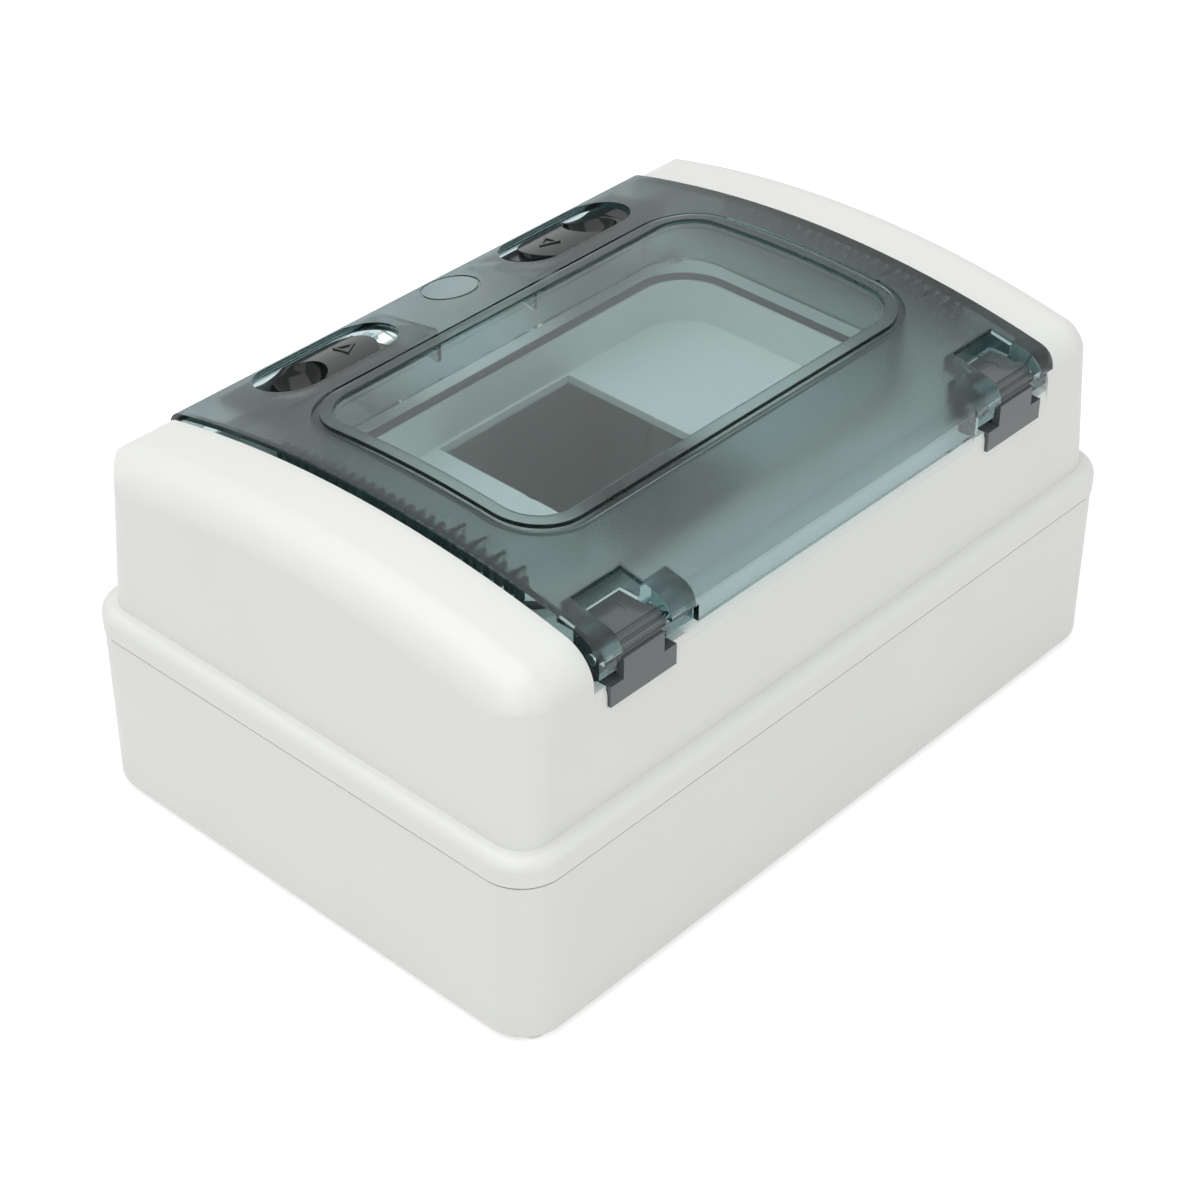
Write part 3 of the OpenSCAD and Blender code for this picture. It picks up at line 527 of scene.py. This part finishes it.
def screw_head(nt, given):
    """A cylinder whose rim is drawn in toward the top, so that it is domed."""
    height = given["Head height"]
    head = put(nt, "GeometryNodeMeshCylinder", Vertices=40, Side_Segments=6)
    nt.links.new(maths(nt, "MULTIPLY", given["Head width"], 0.5), head.inputs["Radius"])
    nt.links.new(height, head.inputs["Depth"])
    raised = lifted(nt, head.outputs["Mesh"], maths(nt, "MULTIPLY", height, 0.5))
    spot = nt.nodes.new("GeometryNodeInputPosition")
    apart = nt.nodes.new("ShaderNodeSeparateXYZ")
    nt.links.new(spot.outputs[0], apart.inputs[0])
    part = maths(nt, "DIVIDE", apart.outputs["Z"], height)
    pull = maths(nt, "MULTIPLY", maths(nt, "POWER", part, 3.0), given["Dome"])
    scaled = nt.nodes.new("ShaderNodeVectorMath")
    scaled.operation = "SCALE"
    nt.links.new(vector(nt, x=apart.outputs["X"], y=apart.outputs["Y"]), scaled.inputs[0])
    nt.links.new(maths(nt, "MULTIPLY", pull, -1.0), scaled.inputs["Scale"])
    dome = nt.nodes.new("GeometryNodeSetPosition")
    nt.links.new(raised, dome.inputs["Geometry"])
    nt.links.new(scaled.outputs[0], dome.inputs["Offset"])
    return dome.outputs[0]


def slotted(nt, given, head):
    """Cuts the slot, and the second across it where there is one."""
    cut = nt.nodes.new("GeometryNodeMeshBoolean")
    cut.operation = "DIFFERENCE"
    nt.links.new(head, cut.inputs["Mesh 1"])
    depth = maths(nt, "MULTIPLY", given["Slot depth"], 2.0)
    long_side, short_side = given["Slot length"], given["Slot width"]
    narrow = maths(nt, "MULTIPLY", short_side, 0.98)
    second = maths(nt, "MULTIPLY", given["Second slot"], long_side)
    across = maths(nt, "MAXIMUM", second, narrow)
    for x, y in ((long_side, short_side), (narrow, across)):
        bar = nt.nodes.new("GeometryNodeMeshCube")
        nt.links.new(vector(nt, x, y, depth), bar.inputs["Size"])
        nt.links.new(lifted(nt, bar.outputs["Mesh"], given["Head height"]), cut.inputs["Mesh 2"])
    return cut.outputs["Mesh"]


def screw_shank(nt, given):
    """The shank's core and the thread wound round it."""
    length = given["Length"]
    radius = maths(nt, "MULTIPLY", given["Shank width"], 0.5)
    shank = put(nt, "GeometryNodeMeshCylinder", Vertices=24)
    nt.links.new(radius, shank.inputs["Radius"])
    nt.links.new(length, shank.inputs["Depth"])
    core = lifted(nt, shank.outputs["Mesh"], maths(nt, "MULTIPLY", length, -0.5))
    threaded = maths(nt, "MULTIPLY", length, 0.9)
    spiral = put(nt, "GeometryNodeCurveSpiral", Resolution=14)
    turns = maths(nt, "DIVIDE", threaded, given["Thread pitch"])
    nt.links.new(turns, spiral.inputs["Rotations"])
    for end in ("Start Radius", "End Radius"):
        nt.links.new(radius, spiral.inputs[end])
    nt.links.new(threaded, spiral.inputs["Height"])
    ridge = put(nt, "GeometryNodeCurvePrimitiveCircle", Resolution=4)
    nt.links.new(maths(nt, "MULTIPLY", given["Thread pitch"], 0.22), ridge.inputs["Radius"])
    wound = nt.nodes.new("GeometryNodeCurveToMesh")
    nt.links.new(spiral.outputs[0], wound.inputs["Curve"])
    nt.links.new(ridge.outputs["Curve"], wound.inputs["Profile Curve"])
    wound.inputs["Fill Caps"].default_value = True
    return core, lifted(nt, wound.outputs[0], maths(nt, "MULTIPLY", length, -0.97))


def screw_rule():
    """Screws at the given points: a domed head with one or two slots, a shank and its thread."""
    sizes = ("Head width", "Head height", "Dome", "Slot length", "Slot width", "Slot depth",
             "Second slot", "Shank width", "Length", "Thread pitch")
    nt, given = new_rule("screw_rule", sizes, "NodeSocketFloat")
    whole = nt.nodes.new("GeometryNodeJoinGeometry")
    for mesh in (slotted(nt, given, screw_head(nt, given)), *screw_shank(nt, given)):
        nt.links.new(mesh, whole.inputs[0])
    planted(nt, given, whole.outputs[0])
    return nt


def rib_rule():
    """Short ribs hanging at the given points."""
    nt, given = new_rule("rib_rule", ("Rib",), "NodeSocketVector")
    rib = put(nt, "GeometryNodeMeshCube", Vertices_Z=3)
    nt.links.new(given["Rib"], rib.inputs["Size"])
    planted(nt, given, rib.outputs["Mesh"])
    return nt


def grown(name, places, tree, sizes):
    """Runs a rule over its points and returns the plain mesh as a finished object."""
    seed = bpy.data.meshes.new(name + "_places")
    seed.from_pydata(places, [], [])
    ob = add_object(name, seed)
    rule = ob.modifiers.new("rule", "NODES")
    rule.node_group = tree
    items = tree.interface.items_tree
    sockets = {item.name: item.identifier for item in items if item.in_out == "INPUT"}
    for key, value in sizes.items():
        rule[sockets[key]] = value
    mesh = plain_mesh(ob)
    mesh.shade_smooth()
    mesh.set_sharp_from_angle(angle=math.radians(35.0))
    return ob


# ---------------------------------------------------------------- screws

# node: head width, head height, shank, slot (length, width, depth), dome, second slot, pitch, rows
SCREWS = {
    "cover_screws": (7.6, 2.6, 3.18, (4.8, 1.0, 1.6), 0.22, 1.0, 1.5, 0),
    "holder_screws": (5.0, 1.75, 2.5, (3.6, 0.8, 0.9), 0.22, 0.0, 0.9, 0),
    "neutral_screws": (3.4, 2.9, 3.0, (3.6, 0.7, 1.0), 0.0, 0.0, 0.9, 7),
    "earth_screws": (3.4, 2.9, 3.0, (3.6, 0.7, 1.0), 0.0, 0.0, 0.9, 7),
    "rail_screws": (8.0, 2.8, 3.1, (5.6, 0.8, 1.4), 0.22, 0.0, 0.9, 0),
}


def screw_set(rule, node, head, height, shank, slot, dome, second, pitch, rows):
    """Replaces a node of screws. Places and lengths come from the node's own box."""
    lo, hi = (Vector(p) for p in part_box(node))
    head, height, shank = head * MM, height * MM, shank * MM
    under = hi.z - height
    if rows:
        x = (lo.x + hi.x) / 2
        step = (hi.y - lo.y - head) / (rows - 1)
        places = [(x, lo.y + head / 2 + k * step, under) for k in range(rows)]
    else:
        xs = sorted({round(lo.x + head / 2, 6), round(hi.x - head / 2, 6)})
        places = [(x, y, under) for x in xs for y in (lo.y + head / 2, hi.y - head / 2)]
    piece = grown(node + "_set", places, rule, {
        "Head width": head, "Head height": height, "Dome": dome,
        "Slot length": slot[0] * MM, "Slot width": slot[1] * MM, "Slot depth": slot[2] * MM,
        "Second slot": second, "Shank width": shank - 0.2 * MM,
        "Length": max(under - lo.z, 0.3 * MM), "Thread pitch": pitch * MM, "Finish": ZINC})
    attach(piece, "enclosure")
    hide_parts(node)


# ---------------------------------------------------------------- dark joint ring and door ribs

def dark_joint_ring():
    """A thin dark ring set 0.3 mm into the joint between base and cover, so that the joint shows as a dark
    line.
    """
    corner = Vector(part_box("base_housing")[1])
    low = corner.z + 0.03 * MM
    high = low + 0.52 * MM
    outer, inner = 0.3 * MM, 2.9 * MM
    bm = bmesh.new()
    rings = []
    for inset, z in ((outer, low), (outer, high), (inner, high), (inner, low)):
        half_l, half_w, r = corner.x - inset, corner.y - inset, 10.7 * MM - inset
        ring = []
        for quarter, (sx, sy) in enumerate(((1, 1), (-1, 1), (-1, -1), (1, -1))):
            for step in range(13):
                a = math.radians(90 * quarter + 7.5 * step)
                x = sx * (half_l - r) + r * math.cos(a)
                y = sy * (half_w - r) + r * math.sin(a)
                ring.append(bm.verts.new((x, y, z)))
        rings.append(ring)
    count = len(rings[0])
    for a, b in zip(rings, rings[1:] + rings[:1]):
        for k in range(count):
            bm.faces.new((a[k], a[(k + 1) % count], b[(k + 1) % count], b[k]))
    bmesh.ops.recalc_face_normals(bm, faces=bm.faces)
    mesh = bpy.data.meshes.new("joint_dark_ring")
    bm.to_mesh(mesh)
    bm.free()
    mesh.materials.append(CORD)
    ob = add_object("joint_dark_ring", mesh)
    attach(ob, "enclosure")


def door_end_ribs():
    """A comb of fine ribs inside each end flange of the door, under the arch."""
    lo, hi = box_mm("door")
    count, first, pitch = 25, -42.0, 3.0
    tall, in_from_end, under_skin = 4.4, 2.9, 1.9
    places = []
    for k in range(count):
        y = first + pitch * k
        z = arch_top(hi[2] - BEAD_UP, y) - under_skin - tall / 2
        for x in (lo[0] + in_from_end, hi[0] - in_from_end):
            places.append((x * MM, y * MM, z * MM))
    rib = (2.2 * MM, 1.0 * MM, tall * MM)
    ribs = grown("door_end_ribs", places, rib_rule(), {"Rib": rib, "Finish": RIB})
    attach(ribs, "door")


for node in FINISH:
    piece = smooth_piece(node)
    if node == "door":
        finish_the_door(piece)
    if node.startswith("latch_slider"):
        bowl_gloss_and_shade(piece, node)

rule = screw_rule()
for node, sizes in SCREWS.items():
    screw_set(rule, node, *sizes)
dark_joint_ring()
door_end_ribs()
